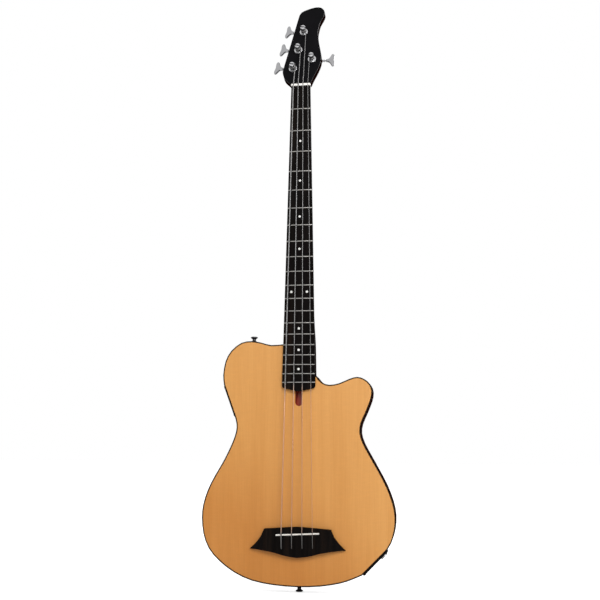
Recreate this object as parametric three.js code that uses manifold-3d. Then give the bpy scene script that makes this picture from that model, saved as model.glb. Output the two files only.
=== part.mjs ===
// Thin-bodied acoustic bass guitar: closed top, one cutaway, four strings, twenty frets.
// Millimetres. X points to the treble side, Y from the front to the back, Z up to the headstock.
// The pieces are placed from the nut: its front edge is at z = 0 and the fretboard's face at y = 0.
// The whole instrument is then set so that the neck's back, behind the nut, lies at the origin.
import * as THREE from 'three';
import { mergeVertices } from 'three/addons/utils/BufferGeometryUtils.js';
import Module from 'manifold-3d';

const wasm = await Module();
wasm.setup();

// Scale, strings and frets
const scaleLength = 863.6;
const fretCount = 20;
const stringNames = ['e', 'a', 'd', 'g'];
const stringRadii = [1.27, 1.02, 0.83, 0.57];
const windingLoops = [2, 2, 2, 2];
const stringSpreadAtNut = 29;
const stringSpreadAtSaddle = 57;
const actionAtNut = 1.5;
const actionAtSaddle = 5.6;

// Fretboard and neck
const boardThickness = 7;
const boardRadius = 305;
const boardWidthAtNut = 38;
const boardWidthAtEnd = 63;
const boardPastLastFret = 7.4;
const boardPointLength = 10;
const boardCornerLength = 3.5;
const boardCornerWidth = 3.2;
const neckDepthAtNut = 21;
const neckDepthAtHeel = 25;
const heelAboveShoulder = 60;
const heelBelowShoulder = 14;
const heelDepth = 45;
const tenonShortOfBoard = 9;

// Body
const bodyHalfWidth = 179.5;
const bodyLength = 448;
const tailLength = 96.4;
const bodyDepth = 50;
const topThickness = 3.5;
const bindingWidth = 1.6;
const bindingDepth = 5.5;
const backEdgeRadius = 7;

// Headstock
const headAngle = THREE.MathUtils.degToRad(10);
const headHalfWidth = 45;
const headLength = 186;
const headThickness = 15;
const headFaceAtNut = 3;
const veneerThickness = 2;
const nutLength = 5;

// Clearances: pieces at rest on each other, running parts, glued seams, and the reach of every cut
const gap = 0.3;
const seam = 0.05;
const overrun = 3;

function fretZ(number) {
  return -scaleLength * (1 - 2 ** (-number / 12));
}

const boardLength = boardPastLastFret - fretZ(fretCount);
const bodyBottom = -scaleLength - tailLength;
const shoulderZ = bodyBottom + bodyLength;
const heelStart = shoulderZ + heelAboveShoulder;
const heelFull = shoulderZ - heelBelowShoulder;
const tenonEnd = tenonShortOfBoard - boardLength;
const topFace = boardThickness;
const coreFace = topFace + topThickness;
const backFace = topFace + bodyDepth;
const turn = 2 * Math.PI;

// Solid helpers

function solid(geometry) {
  const bare = new THREE.BufferGeometry();
  bare.setAttribute('position', geometry.getAttribute('position'));
  bare.setIndex(geometry.index);
  const welded = mergeVertices(bare);
  return new wasm.Manifold(new wasm.Mesh({
    numProp: 3,
    vertProperties: new Float32Array(welded.getAttribute('position').array),
    triVerts: new Uint32Array(welded.index.array),
  }));
}

function geometryOf(manifold) {
  const { vertProperties, triVerts } = manifold.getMesh();
  const geometry = new THREE.BufferGeometry();
  geometry.setAttribute('position', new THREE.BufferAttribute(vertProperties, 3));
  geometry.setIndex(new THREE.BufferAttribute(triVerts, 1));
  geometry.computeVertexNormals();
  return geometry;
}

function joined(solids) {
  return solids.reduce((whole, piece) => whole.add(piece));
}

function cutAll(blank, tools) {
  return tools.reduce((rest, tool) => rest.subtract(tool), blank);
}

function block(left, right, front, back, bottom, top) {
  const geometry = new THREE.BoxGeometry(right - left, back - front, top - bottom);
  return solid(geometry.translate((left + right) / 2, (front + back) / 2, (bottom + top) / 2));
}

// A flat plate: an outline of (x, z) points, from the front to the back
function plate(outline, front, back, matrix = new THREE.Matrix4()) {
  const shape = new THREE.Shape(outline);
  const geometry = new THREE.ExtrudeGeometry(shape, { depth: back - front, bevelEnabled: false });
  geometry.rotateX(Math.PI / 2);
  return solid(geometry.translate(0, back, 0).applyMatrix4(matrix));
}

// A bar along X: a profile of (z, y) points, from left to right
function bar(profile, left, right) {
  const shape = new THREE.Shape(profile);
  const geometry = new THREE.ExtrudeGeometry(shape, { depth: right - left, bevelEnabled: false });
  geometry.rotateY(-Math.PI / 2);
  return solid(geometry.translate(right, 0, 0));
}

// A round pin along Y at (x, z)
function pin(x, z, radius, front, back, sides = 16) {
  const geometry = new THREE.CylinderGeometry(radius, radius, back - front, sides);
  return solid(geometry.translate(x, (front + back) / 2, z));
}

// A round rod between two points
function rod(start, end, radius, sides = 12) {
  const along = end.clone().sub(start);
  const geometry = new THREE.CylinderGeometry(radius, radius, along.length(), sides);
  const up = new THREE.Vector3(0, 1, 0);
  geometry.applyQuaternion(new THREE.Quaternion().setFromUnitVectors(up, along.clone().normalize()));
  const middle = start.clone().add(end).divideScalar(2);
  return solid(geometry.translate(middle.x, middle.y, middle.z));
}

// The same closed skin with its faces turned outwards
function facingOut(geometry) {
  const points = geometry.getAttribute('position');
  const index = Array.from(geometry.index.array);
  const corner = (k) => new THREE.Vector3().fromBufferAttribute(points, index[k]);
  let sixVolumes = 0;
  for (let k = 0; k < index.length; k += 3) {
    sixVolumes += corner(k).dot(corner(k + 1).cross(corner(k + 2)));
  }
  if (sixVolumes < 0) geometry.setIndex(index.reverse());
  return geometry;
}

// A closed skin through rings of equal counts, capped at both ends
function loft(rings) {
  const count = rings[0].length;
  const vertices = rings.flat();
  const faces = [];
  for (let ring = 0; ring + 1 < rings.length; ring += 1) {
    for (let k = 0; k < count; k += 1) {
      const near = ring * count;
      const next = (k + 1) % count;
      faces.push([near + k, near + next, near + count + k]);
      faces.push([near + next, near + count + next, near + count + k]);
    }
  }
  for (const [first, flip] of [[0, true], [(rings.length - 1) * count, false]]) {
    const middle = new THREE.Vector3();
    const hub = vertices.length;
    for (let k = 0; k < count; k += 1) {
      middle.addScaledVector(vertices[first + k], 1 / count);
      const next = first + (k + 1) % count;
      faces.push(flip ? [hub, next, first + k] : [hub, first + k, next]);
    }
    vertices.push(middle);
  }
  const geometry = new THREE.BufferGeometry().setFromPoints(vertices);
  geometry.setIndex(faces.flat());
  return facingOut(geometry);
}

// A round tube of one radius through a list of points, none of its runs along Y
function tube(points, radius, sides) {
  const rings = points.map((point, k) => {
    const before = points[Math.max(k - 1, 0)];
    const after = points[Math.min(k + 1, points.length - 1)];
    const along = after.clone().sub(before).normalize();
    const across = new THREE.Vector3(0, 1, 0).cross(along).normalize();
    const upward = along.clone().cross(across);
    return Array.from({ length: sides }, (_, side) => {
      const angle = (side / sides) * turn;
      const offset = across.clone().multiplyScalar(Math.cos(angle) * radius);
      return point.clone().add(offset).addScaledVector(upward, Math.sin(angle) * radius);
    });
  });
  return solid(loft(rings));
}

// A turned piece: (radius, height) points, the height pointing out to the front
function turned(profile, sides = 16) {
  const points = profile.map(([radius, height]) => new THREE.Vector2(radius, height));
  return facingOut(new THREE.LatheGeometry(points, sides).rotateX(Math.PI));
}

function roundedRectangle(left, right, bottom, top, radius, steps = 2) {
  const corners = [[right - radius, top - radius], [left + radius, top - radius],
    [left + radius, bottom + radius], [right - radius, bottom + radius]];
  return corners.flatMap(([x, z], corner) => Array.from({ length: steps + 1 }, (_, k) => {
    const angle = ((corner + k / steps) * turn) / 4;
    return new THREE.Vector2(x + radius * Math.cos(angle), z + radius * Math.sin(angle));
  }));
}

// The same outline drawn in by an even distance
function inset(outline, distance) {
  const side = THREE.ShapeUtils.isClockWise(outline) ? -1 : 1;
  return outline.map((point, k) => {
    const before = outline.at(k - 1);
    const after = outline[(k + 1) % outline.length];
    const into = point.clone().sub(before).normalize();
    const out = after.clone().sub(point).normalize();
    const bisector = new THREE.Vector2(-into.y - out.y, into.x + out.x).normalize();
    const stretch = 1 / Math.max(Math.abs(bisector.dot(new THREE.Vector2(-out.y, out.x))), 0.5);
    return point.clone().addScaledVector(bisector, side * distance * stretch);
  });
}

// Materials
const spruce = new THREE.MeshStandardMaterial({ color: 0xd69c5b, roughness: 0.35 });
const mahogany = new THREE.MeshStandardMaterial({ color: 0x3d1512, roughness: 0.3 });
const ebony = new THREE.MeshStandardMaterial({ color: 0x17130f, roughness: 0.55 });
const blackGloss = new THREE.MeshStandardMaterial({ color: 0x0c0b0c, roughness: 0.15 });
const blackBinding = new THREE.MeshStandardMaterial({ color: 0x14100f, roughness: 0.35 });
const blackPlastic = new THREE.MeshStandardMaterial({ color: 0x161616, roughness: 0.5 });
const bone = new THREE.MeshStandardMaterial({ color: 0xe9e2d2, roughness: 0.4 });
const chrome = new THREE.MeshStandardMaterial({ color: 0xc4c6c9, roughness: 0.18, metalness: 1 });
const nickelSilver = new THREE.MeshStandardMaterial({ color: 0xb9b4a6, roughness: 0.3, metalness: 1 });
const stringSteel = new THREE.MeshStandardMaterial({ color: 0xa8a49c, roughness: 0.35, metalness: 1 });
const darkSteel = new THREE.MeshStandardMaterial({ color: 0x2b2b2e, roughness: 0.3, metalness: 1 });
const brass = new THREE.MeshStandardMaterial({ color: 0xb08d4a, roughness: 0.35, metalness: 1 });

const instrument = new THREE.Group();
instrument.position.set(0, -neckDepthAtNut, 0);

const headstock = new THREE.Group();
headstock.position.set(0, headFaceAtNut, nutLength);
headstock.rotation.x = -headAngle;
instrument.add(headstock);
headstock.updateMatrix();
const headMatrix = headstock.matrix;

function place(group, name, piece, material) {
  const geometry = piece.isBufferGeometry ? piece : geometryOf(piece);
  const mesh = new THREE.Mesh(geometry, material.clone());
  mesh.name = name;
  group.add(mesh);
}

// Body outline, from the neck on the bass side round the tail to the neck on the treble side.
// Shares of the half width and of the body's length above the tail.
const bassBoutShares = [[-0.170, 0.985], [-0.301, 0.982], [-0.407, 0.993], [-0.513, 1], [-0.624, 0.993],
  [-0.730, 0.960], [-0.792, 0.915], [-0.815, 0.855], [-0.803, 0.813]];
const lowerBoutShares = [[-0.680, 0.682], [-0.659, 0.650], [-0.662, 0.618], [-0.700, 0.571],
  [-0.784, 0.500], [-0.876, 0.437], [-0.950, 0.377], [-0.994, 0.319], [-1.005, 0.265],
  [-0.984, 0.200], [-0.925, 0.143], [-0.812, 0.094], [-0.652, 0.050], [-0.468, 0.020],
  [-0.245, 0.005], [0, 0], [0.231, 0.005], [0.432, 0.019], [0.557, 0.036], [0.652, 0.0525]];
const trebleBoutShares = [[0.894, 0.1485], [0.945, 0.180], [0.982, 0.228], [0.994, 0.283], [0.974, 0.340],
  [0.920, 0.401], [0.842, 0.461], [0.756, 0.522], [0.686, 0.574], [0.655, 0.616], [0.668, 0.655],
  [0.719, 0.701], [0.762, 0.747], [0.772, 0.785], [0.744, 0.815], [0.685, 0.836], [0.612, 0.845],
  [0.529, 0.837], [0.423, 0.819], [0.321, 0.8125], [0.256, 0.820], [0.215, 0.833], [0.188, 0.846]];

function bodyPoint([acrossShare, alongShare]) {
  return new THREE.Vector2(acrossShare * bodyHalfWidth, bodyBottom + alongShare * bodyLength);
}

const stepsPerShare = 2;
const bouts = [bassBoutShares, lowerBoutShares, trebleBoutShares].map((shares) => {
  const curve = new THREE.SplineCurve(shares.map(bodyPoint));
  return curve.getPoints((shares.length - 1) * stepsPerShare);
});
const bodyOutline = bouts.flat();

// The two flats between the bouts carry the control panel and the output plate
function flatBetween(start, end) {
  const middle = start.clone().add(end).divideScalar(2);
  const along = end.clone().sub(start);
  const outward = new THREE.Vector2(along.y, -along.x).normalize();
  if (outward.x * middle.x < 0) outward.negate();
  return { middle, length: along.length(), angle: Math.atan2(-outward.y, outward.x) };
}
const panelFlat = flatBetween(bouts[0].at(-1), bouts[1][0]);
const outputFlat = flatBetween(bouts[1].at(-1), bouts[2][0]);

// A frame on a flat: X out of the body, Y to the back, Z along the flat
function flatGroup(flat) {
  const group = new THREE.Group();
  group.position.set(flat.middle.x, 0, flat.middle.y);
  group.rotation.y = flat.angle;
  instrument.add(group);
  group.updateMatrix();
  return group;
}
const panelGroup = flatGroup(panelFlat);
const outputGroup = flatGroup(outputFlat);

function inGroup(group, manifold) {
  return solid(geometryOf(manifold).applyMatrix4(group.matrix));
}

// Neck: D-shaped sections that deepen into the heel and run on as the tenon
const neckSides = 12;
const shaftSquareShare = 0.85;
const heelSquareShare = 0.42;
const voluteEnd = 22;
const voluteDepth = 20;
const heelStationShares = [0, 0.2, 0.45, 0.65, 0.82, 1];

function boardHalfWidth(z) {
  const share = -z / boardLength;
  return THREE.MathUtils.lerp(boardWidthAtNut, boardWidthAtEnd, Math.max(share, 0)) / 2;
}

function neckSection(z, depth, squareShare, grow = 0, lift = 0) {
  const halfWidth = boardHalfWidth(z) + grow;
  return Array.from({ length: neckSides + 1 }, (_, k) => {
    const angle = (Math.PI * k) / neckSides;
    const across = Math.sign(Math.cos(angle)) * Math.abs(Math.cos(angle)) ** squareShare;
    const behind = Math.abs(Math.sin(angle)) ** squareShare * (depth - boardThickness + grow);
    const edge = k === 0 || k === neckSides ? -lift : 0;
    return new THREE.Vector3(-across * halfWidth, boardThickness + behind * (edge ? 0 : 1) + edge, z);
  });
}

function heelSections(endZ, grow = 0, lift = 0) {
  const sections = heelStationShares.map((share) => {
    const blend = THREE.MathUtils.smoothstep(share, 0, 1);
    const depth = THREE.MathUtils.lerp(neckDepthAtHeel, heelDepth, blend);
    const squareShare = THREE.MathUtils.lerp(shaftSquareShare, heelSquareShare, blend);
    return neckSection(THREE.MathUtils.lerp(heelStart, heelFull, share), depth, squareShare, grow, lift);
  });
  sections.push(neckSection(endZ, heelDepth, heelSquareShare, grow, lift));
  return sections;
}

const neckPocket = solid(loft(heelSections(tenonEnd - gap, gap, overrun)));

// Headstock outline, from the nut up the bass side, over the tip and down the treble side.
// Shares of the half width and of the length along the face.
const headBassShares = [[-0.43, 0], [-0.57, 0.034], [-0.72, 0.072], [-0.815, 0.12], [-0.853, 0.17],
  [-0.818, 0.218]];
const headTipShares = [[-0.198, 0.896], [-0.10, 0.941], [0.136, 0.972], [0.458, 0.996], [0.696, 0.999],
  [0.876, 0.978], [0.985, 0.925], [0.907, 0.862], [0.782, 0.798], [0.713, 0.724], [0.682, 0.661],
  [0.696, 0.609], [0.740, 0.541], [0.822, 0.438], [0.872, 0.358], [0.864, 0.288], [0.782, 0.218],
  [0.680, 0.156], [0.556, 0.090], [0.43, 0.012]];

function headPoint([acrossShare, alongShare]) {
  return new THREE.Vector2(acrossShare * headHalfWidth, alongShare * headLength);
}
const headOutline = [headBassShares, headTipShares].flatMap((shares) => {
  const curve = new THREE.SplineCurve(shares.map(headPoint));
  return curve.getPoints((shares.length - 1) * stepsPerShare);
});

// Tuning machine places on the headstock: three along the straight bass edge, one on the treble side
const bassEdgeLow = headPoint(headBassShares.at(-1));
const bassEdgeHigh = headPoint(headTipShares[0]);
const edgeLine = bassEdgeHigh.clone().sub(bassEdgeLow);
const edgeAngle = Math.atan2(edgeLine.x, edgeLine.y);
const machineInset = 19.4;
const firstMachineAlong = 1.5;
const machinePitch = 45.1;
const trebleMachine = new THREE.Vector2(20.6, 58.2);

function bassMachine(index) {
  const along = edgeLine.clone().normalize();
  const inward = new THREE.Vector2(along.y, -along.x);
  return bassEdgeLow.clone().addScaledVector(along, firstMachineAlong + index * machinePitch)
    .addScaledVector(inward, machineInset);
}

// Each machine stands at its post; its own X runs along the key and its Z across it.
// The worm lies on the headstock's tip side of the post.
const machines = [0, 1, 2].map((index) => (
  { post: bassMachine(index), angle: Math.PI + edgeAngle, wormSide: -1, wrapSide: 1 }));
machines.push({ post: trebleMachine, angle: 0, wormSide: 1, wrapSide: -1 });

// Sizes of a tuning machine
const postRadius = 4.2;
const postWaistRadius = 3.8;
const postHeadRadius = 5.2;
const postHeight = 16.5;
const postWaistStart = 3.4;
const postWaistEnd = 12.6;
const postHeadStart = 13.6;
const postSlotWidth = 2.8;
const postSlotDepth = 4.4;
const postDomeHeight = 0.7;
const bushingRadius = 8.5;
const bushingRim = 1.1;
const collarRadius = 6.4;
const collarHeight = 3;
const sleeveRadius = 5.8;
const sleeveDepth = 8;
const machinePlateThickness = 2;
const wheelTeeth = 20;
const gearModule = 0.7;
const wheelThickness = 4.4;
const wormPitchRadius = 2.6;
const addendum = 0.55;
const dedendum = 0.75;
const wormTurns = 3.5;
const lugThickness = 2.4;
const lugReach = 3.4;
const lugInnerReach = 2.8;
const keyLength = 43.5;
const buttonLength = 17;
const buttonHalfWidth = 14.5;
const buttonThickness = 4.4;
const keyCollarRadius = 3.4;
const keyCollarLength = 1.8;
const keyCollarStart = 18;

const wheelPitchRadius = (gearModule * wheelTeeth) / 2;
const toothPitch = Math.PI * gearModule;
const centreDistance = wheelPitchRadius + wormPitchRadius;
const leadSlope = toothPitch / (turn * wormPitchRadius);
const keyShaftRadius = wormPitchRadius - dedendum;
const platesFront = headThickness + gap;
const platesBack = platesFront + machinePlateThickness;
const wheelMiddle = platesBack + gap + wormPitchRadius + addendum;
const wormLength = wormTurns * toothPitch;
const lugStart = wormLength / 2 + gap;

// Worm wheel: teeth narrowed towards their tips, slanted to the worm's lead
const toothRootShare = 0.56;
const toothTipShare = 0.25;

function wormWheel() {
  const rings = [-1, 1].map((level) => {
    const offset = (level * wheelThickness) / 2;
    const twist = (offset * leadSlope) / wheelPitchRadius;
    return Array.from({ length: wheelTeeth }, (_, tooth) => {
      const middle = ((tooth + 1 / 2) / wheelTeeth) * turn + twist;
      return [[-toothRootShare, -dedendum], [-toothTipShare, addendum], [toothTipShare, addendum],
        [toothRootShare, -dedendum]].map(([share, height]) => {
        const angle = middle + ((share / 2) * turn) / wheelTeeth;
        const radius = wheelPitchRadius + height;
        return new THREE.Vector3(radius * Math.sin(angle), wheelMiddle + offset, radius * Math.cos(angle));
      });
    }).flat();
  });
  return solid(loft(rings));
}

// Worm thread: a tapering ridge wound round the key's shaft, its crossing centred on the post
const threadRootShare = 0.5;
const threadTipShare = 0.2;
const threadStepsPerTurn = 8;

function wormThread(wormSide) {
  const steps = Math.round((wormTurns - 1) * threadStepsPerTurn);
  const contactAngle = -wormSide * (turn / 4);
  const rings = Array.from({ length: steps + 1 }, (_, k) => {
    const wound = (k - steps / 2) / threadStepsPerTurn;
    const angle = contactAngle + wound * turn;
    return [[-threadRootShare, -dedendum - gap], [-threadTipShare, addendum], [threadTipShare, addendum],
      [threadRootShare, -dedendum - gap]].map(([share, height]) => {
      const radius = wormPitchRadius + height;
      const x = (wound + share / 2) * toothPitch;
      return new THREE.Vector3(x, wheelMiddle + radius * Math.cos(angle),
        wormSide * centreDistance + radius * Math.sin(angle));
    });
  });
  return solid(loft(rings));
}

function postSolid() {
  const rear = -(wheelMiddle + wheelThickness / 2);
  const profile = [[0, rear], [postRadius, rear], [postRadius, postWaistStart],
    [postWaistRadius, postWaistStart + gap], [postWaistRadius, postWaistEnd],
    [postHeadRadius, postHeadStart], [postHeadRadius, postHeight - postDomeHeight],
    [postHeadRadius - postDomeHeight, postHeight], [0, postHeight]];
  const slot = block(-postHeadRadius - overrun, postHeadRadius + overrun, -postHeight - overrun,
    -postHeight + postSlotDepth, -postSlotWidth / 2, postSlotWidth / 2);
  return solid(turned(profile)).subtract(slot).add(wormWheel());
}

function bushingGeometry() {
  const bore = postRadius + gap;
  return turned([[bore, collarHeight], [collarRadius - gap, collarHeight], [collarRadius, gap + bushingRim],
    [bushingRadius - gap, gap + bushingRim], [bushingRadius, gap], [sleeveRadius, gap],
    [sleeveRadius, -sleeveDepth], [bore, -sleeveDepth], [bore, collarHeight]]);
}

// Base plate on the back of the headstock, with a lug at each end of the worm
const machinePlateInner = 10.5;
const machinePlateOuter = 12.5;
const machinePlateFar = 9;
const machinePlateCorner = 3;
const screwHoleRadius = 1.3;
const screwHoleInset = 2.8;

function machinePlate(wormSide) {
  const near = wormSide * (centreDistance + lugReach + gap);
  const far = -wormSide * machinePlateFar;
  const [bottom, top] = [Math.min(near, far), Math.max(near, far)];
  const outline = roundedRectangle(-machinePlateInner, machinePlateOuter, bottom, top, machinePlateCorner);
  const lugs = [-1, 1].map((end) => {
    const faces = [end * lugStart, end * (lugStart + lugThickness)].sort((a, b) => a - b);
    const reaches = [wormSide * (centreDistance - lugInnerReach), wormSide * (centreDistance + lugReach)]
      .sort((a, b) => a - b);
    return block(faces[0], faces[1], platesBack - gap, wheelMiddle + lugReach, reaches[0], reaches[1]);
  });
  const shaftEnd = lugStart + lugThickness + overrun;
  const bore = rod(new THREE.Vector3(-shaftEnd, wheelMiddle, wormSide * centreDistance),
    new THREE.Vector3(shaftEnd, wheelMiddle, wormSide * centreDistance), keyShaftRadius + gap);
  const screwHoles = [-machinePlateInner + screwHoleInset, machinePlateOuter - screwHoleInset]
    .flatMap((x) => [bottom + screwHoleInset, top - screwHoleInset]
      .filter((z) => z * wormSide < 0)
      .map((z) => pin(x, z, screwHoleRadius, platesFront - overrun, platesBack + overrun, 10)));
  const base = joined([plate(outline, platesFront, platesBack), ...lugs]);
  return cutAll(base, [pin(0, 0, postRadius + gap, platesFront - overrun, platesBack + overrun), bore,
    ...screwHoles]);
}

// Key: shaft with its worm, two collars and a button with hollow flared sides
const buttonShares = [[0, 0.2], [0.2, 0.22], [0.4, 0.38], [0.56, 0.68], [0.68, 0.93], [0.8, 1],
  [0.93, 0.93], [1, 0.72], [0.985, 0.4], [0.94, 0]];
const buttonEdge = 0.9;
const buttonSteps = 15;

function keySolid(wormSide) {
  const axisZ = wormSide * centreDistance;
  const at = (x) => new THREE.Vector3(x, wheelMiddle, axisZ);
  const innerEnd = -(lugStart + lugThickness + gap);
  const buttonStart = keyLength - buttonLength;
  const shaft = rod(at(innerEnd), at(buttonStart + buttonEdge), keyShaftRadius);
  const collars = [0, 1].map((k) => {
    const start = keyCollarStart + k * 2 * keyCollarLength;
    return rod(at(start), at(start + keyCollarLength), keyCollarRadius - k * gap, 10);
  });
  const halfOutline = new THREE.SplineCurve(buttonShares.map(([along, across]) => (
    new THREE.Vector2(along * buttonLength, across * buttonHalfWidth)))).getPoints(buttonSteps);
  const mirrored = halfOutline.slice(0, -1).reverse().map(({ x, y }) => new THREE.Vector2(x, -y));
  const shape = new THREE.Shape([...halfOutline, ...mirrored]);
  const button = new THREE.ExtrudeGeometry(shape, { depth: buttonThickness - 2 * buttonEdge,
    bevelThickness: buttonEdge, bevelSize: buttonEdge, bevelOffset: -buttonEdge, bevelSegments: 1 });
  button.rotateX(Math.PI / 2);
  button.translate(buttonStart, wheelMiddle + buttonThickness / 2 - buttonEdge, axisZ);
  return joined([shaft, wormThread(wormSide), ...collars, solid(button)]);
}

function addMachine(name, { post, angle, wormSide }) {
  const group = new THREE.Group();
  group.position.set(post.x, 0, post.y);
  group.rotation.y = angle;
  headstock.add(group);
  place(group, `tuner_post_${name}`, postSolid(), chrome);
  place(group, `tuner_bushing_${name}`, bushingGeometry(), chrome);
  place(group, `tuner_plate_${name}`, machinePlate(wormSide), chrome);
  place(group, `tuner_key_${name}`, keySolid(wormSide), chrome);
}
stringNames.forEach((name, k) => addMachine(name, machines[k]));

// Truss rod: a bar in a channel under the fretboard, its nut reached through the slot in the top
const rodWidth = 6;
const rodDepth = 9;
const rodUpperEnd = -12;
const rodNutRadius = 4.4;
const rodNutLength = 12;
const rodSocketRadius = 2.5;
const slotWidth = 14;
const slotPastBoard = 26.5;
const slotDepth = 14;
const slotSteps = 12;
const slotEnd = -boardLength - boardPointLength - slotPastBoard;
const rodMiddle = boardThickness + gap + rodDepth / 2;

function slotOutline(width) {
  const radius = width / 2;
  const top = tenonEnd;
  const low = slotEnd + radius;
  const arc = Array.from({ length: slotSteps + 1 }, (_, k) => {
    const angle = Math.PI + (Math.PI * k) / slotSteps;
    return new THREE.Vector2(radius * Math.cos(angle), low + radius * Math.sin(angle));
  });
  return [new THREE.Vector2(radius, top), new THREE.Vector2(-radius, top), ...arc];
}

const trussRod = plate(roundedRectangle(-rodWidth / 2, rodWidth / 2, tenonEnd, rodUpperEnd, rodWidth / 3),
  boardThickness + gap, boardThickness + gap + rodDepth);
place(instrument, 'truss_rod', trussRod, darkSteel);

function trussRodNut() {
  const top = tenonEnd - gap;
  const nut = rod(new THREE.Vector3(0, rodMiddle, top), new THREE.Vector3(0, rodMiddle, top - rodNutLength),
    rodNutRadius, 20);
  const socket = rod(new THREE.Vector3(0, rodMiddle, top - rodNutLength / 3),
    new THREE.Vector3(0, rodMiddle, top - rodNutLength - overrun), rodSocketRadius, 6);
  return nut.subtract(socket);
}
place(instrument, 'truss_rod_nut', trussRodNut(), darkSteel);

// Neck shaft, heel, tenon and headstock in one piece of wood
function neckSolid() {
  const shaft = [neckSection(voluteEnd, voluteDepth, shaftSquareShare),
    neckSection(nutLength, neckDepthAtNut, shaftSquareShare),
    neckSection(0, neckDepthAtNut, shaftSquareShare), ...heelSections(tenonEnd)];
  const blank = plate(headOutline, veneerThickness + gap, headThickness, headMatrix);
  const far = headLength + bodyLength;
  const faceSlab = plate([new THREE.Vector2(-far, -gap), new THREE.Vector2(far, -gap),
    new THREE.Vector2(far, far), new THREE.Vector2(-far, far)], -far, veneerThickness + gap, headMatrix);
  const nutShelf = block(-far, far, -far, boardThickness, -far, nutLength + seam);
  const channel = block(-rodWidth / 2 - gap, rodWidth / 2 + gap, boardThickness - overrun,
    boardThickness + rodDepth + 2 * gap, tenonEnd - overrun, rodUpperEnd + gap);
  const postHoles = machines.map(({ post }) => {
    const hole = pin(post.x, post.y, sleeveRadius + gap, -overrun, headThickness + overrun);
    return solid(geometryOf(hole).applyMatrix4(headMatrix));
  });
  return cutAll(solid(loft(shaft)).add(blank), [faceSlab, nutShelf, channel, ...postHoles]);
}
place(instrument, 'neck', neckSolid(), mahogany);

function headstockVeneer() {
  const lowEdge = nutLength * Math.sin(headAngle);
  const belowNut = block(-headLength, headLength, -overrun, veneerThickness + overrun, -headLength, lowEdge);
  const holes = machines.map(({ post }) => (
    pin(post.x, post.y, sleeveRadius + gap, -overrun, veneerThickness + overrun)));
  return cutAll(plate(headOutline, 0, veneerThickness), [belowNut, ...holes]);
}
place(headstock, 'headstock_veneer', headstockVeneer(), blackGloss);

// Fretboard with an arched face, a shallow pointed end and a slot for each fret
const archSteps = 4;
const fretWidth = 2.7;
const fretHeight = 1.2;
const tangWidth = 0.6;
const tangDepth = 1.9;
const crownSteps = 3;
const slotFloor = 4.2;

function archY(x) {
  return boardRadius - Math.sqrt(boardRadius ** 2 - x ** 2);
}

function archStations(halfWidth) {
  return Array.from({ length: archSteps + 1 }, (_, k) => ((2 * k) / archSteps - 1) * halfWidth);
}

function fretboardSolid() {
  const end = -boardLength - boardPointLength;
  const rings = [0, end - overrun].map((z) => {
    const halfWidth = boardHalfWidth(z);
    const arch = archStations(halfWidth).map((x) => new THREE.Vector3(x, archY(x), z));
    return [...arch, new THREE.Vector3(halfWidth, boardThickness, z),
      new THREE.Vector3(-halfWidth, boardThickness, z)];
  });
  const half = boardWidthAtEnd / 2;
  const corner = half - boardCornerWidth;
  const plan = [[-half - overrun, overrun], [half + overrun, overrun], [half + overrun, -boardLength],
    [half, -boardLength], [corner, -boardLength - boardCornerLength], [0, end],
    [-corner, -boardLength - boardCornerLength], [-half, -boardLength], [-half - overrun, -boardLength]];
  const planPlate = plate(plan.map(([x, z]) => new THREE.Vector2(x, z)), -overrun, boardThickness + overrun);
  const slotHalf = tangWidth / 2 + seam * 2;
  const slots = Array.from({ length: fretCount }, (_, k) => (
    block(-half - overrun, half + overrun, -overrun, slotFloor, fretZ(k + 1) - slotHalf,
      fretZ(k + 1) + slotHalf)));
  return cutAll(solid(loft(rings)).intersect(planPlate), slots);
}
place(instrument, 'fretboard', fretboardSolid(), ebony);

// Fret: a rounded crown bent to the board's arch, with its tang in the slot
function fretGeometry(number) {
  const z = fretZ(number);
  const crown = Array.from({ length: crownSteps + 1 }, (_, k) => {
    const angle = (Math.PI * k) / crownSteps;
    return [(fretWidth / 2) * Math.cos(angle), -fretHeight * Math.sin(angle) - seam];
  });
  const section = [...crown, [-tangWidth / 2, -seam], [-tangWidth / 2, tangDepth], [tangWidth / 2, tangDepth],
    [tangWidth / 2, -seam]];
  const rings = archStations(boardHalfWidth(z) - gap).map((x) => (
    section.map(([along, height]) => new THREE.Vector3(x, archY(x) + height, z + along))));
  return loft(rings);
}
for (let number = 1; number <= fretCount; number += 1) {
  const label = String(number).padStart(2, '0');
  place(instrument, `fret_${label}`, fretGeometry(number), nickelSilver);
}

// Bridge: swept ends with pointed tips, a high middle and wings that fall away
const bridgeHalfWidth = 88;
const bridgeHeight = 10;
const bridgeEdge = 1.2;
const bridgeWingHeight = 3.2;
const bridgeFlatHalf = 52;
const bridgeReach = 54;
const bridgeLow = -908.2;
const bridgeTopShares = [[-0.695, 0.925], [-0.35, 0.966], [0, 1], [0.35, 0.966], [0.695, 0.925]];
const bridgeSideShares = [[0.74, 0.76], [0.77, 0.665], [0.87, 0.46], [1, 0.262]];
const bridgeBottomShares = [[1, 0.262], [0.75, 0.225], [0.455, 0.140], [0.25, 0.05], [0, 0],
  [-0.25, 0.05], [-0.455, 0.140], [-0.75, 0.225], [-1, 0.262]];

function bridgeOutline() {
  const scaled = (shares) => new THREE.SplineCurve(shares.map(([across, along]) => (
    new THREE.Vector2(across * bridgeHalfWidth, bridgeLow + along * bridgeReach)))).getPoints(12);
  const mirrored = bridgeSideShares.map(([across, along]) => [-across, along]).reverse();
  return [...scaled(bridgeTopShares), ...scaled(bridgeSideShares).slice(0, -1), ...scaled(bridgeBottomShares),
    ...scaled(mirrored).slice(1)];
}

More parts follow.
